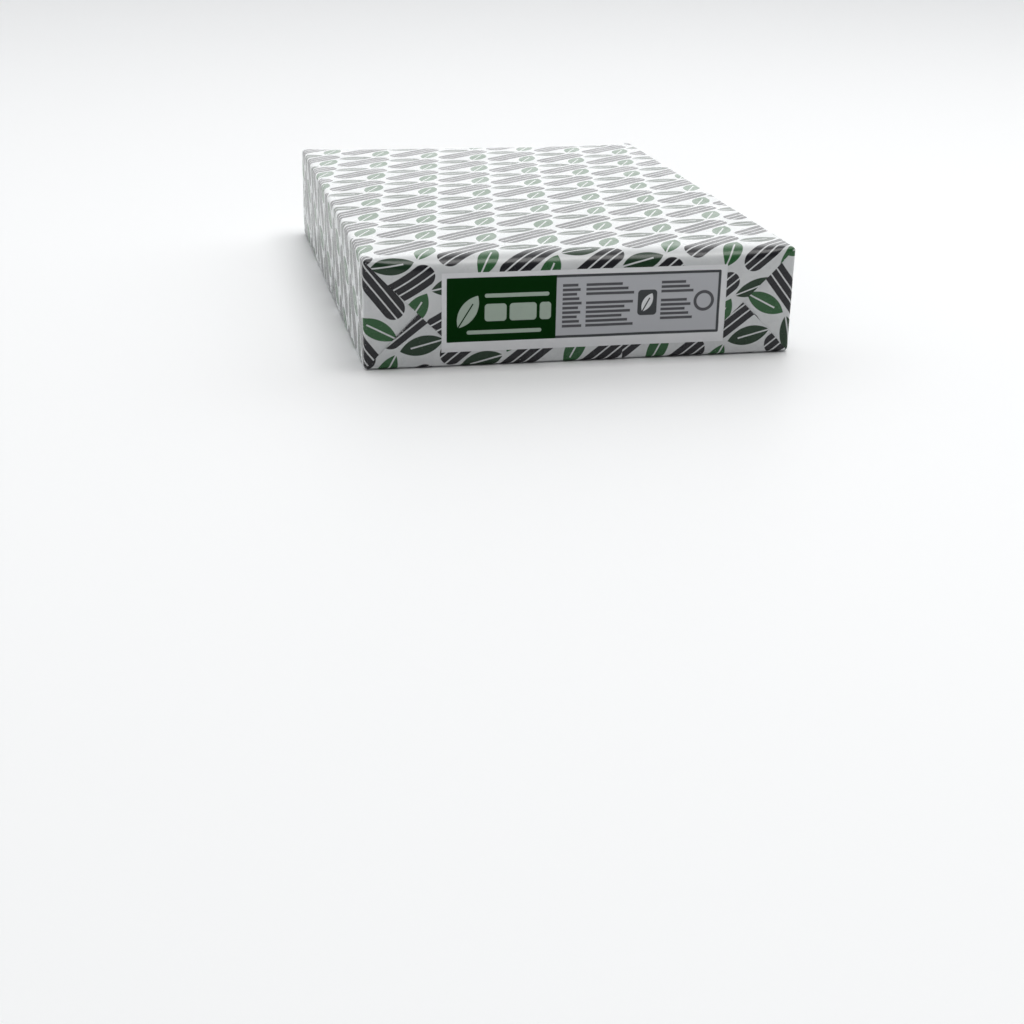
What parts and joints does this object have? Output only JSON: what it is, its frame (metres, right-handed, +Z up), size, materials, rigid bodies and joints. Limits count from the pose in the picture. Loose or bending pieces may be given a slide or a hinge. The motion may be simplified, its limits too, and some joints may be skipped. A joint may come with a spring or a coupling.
{
  "type": "ream of paper",
  "caption": "Sealed ream of A4 copy paper in a machine-folded wrapper, with lapped end flaps, a seam underneath and a stuck-on end label.",
  "frame": {"origin": "middle of the face that the ream rests on", "axes": "+Z up, +Y along the sheets from the labelled end to the other end, +X across them, to the right of whoever reads the label"},
  "size_m": [0.2102, 0.2989, 0.0524],
  "materials": {
    "wrapper": "satin",
    "label": "satin"
  },
  "bodies": {
    "root": {"wrapped_ream": "wrapper", "end_label": "label"}
  },
  "joints": []
}
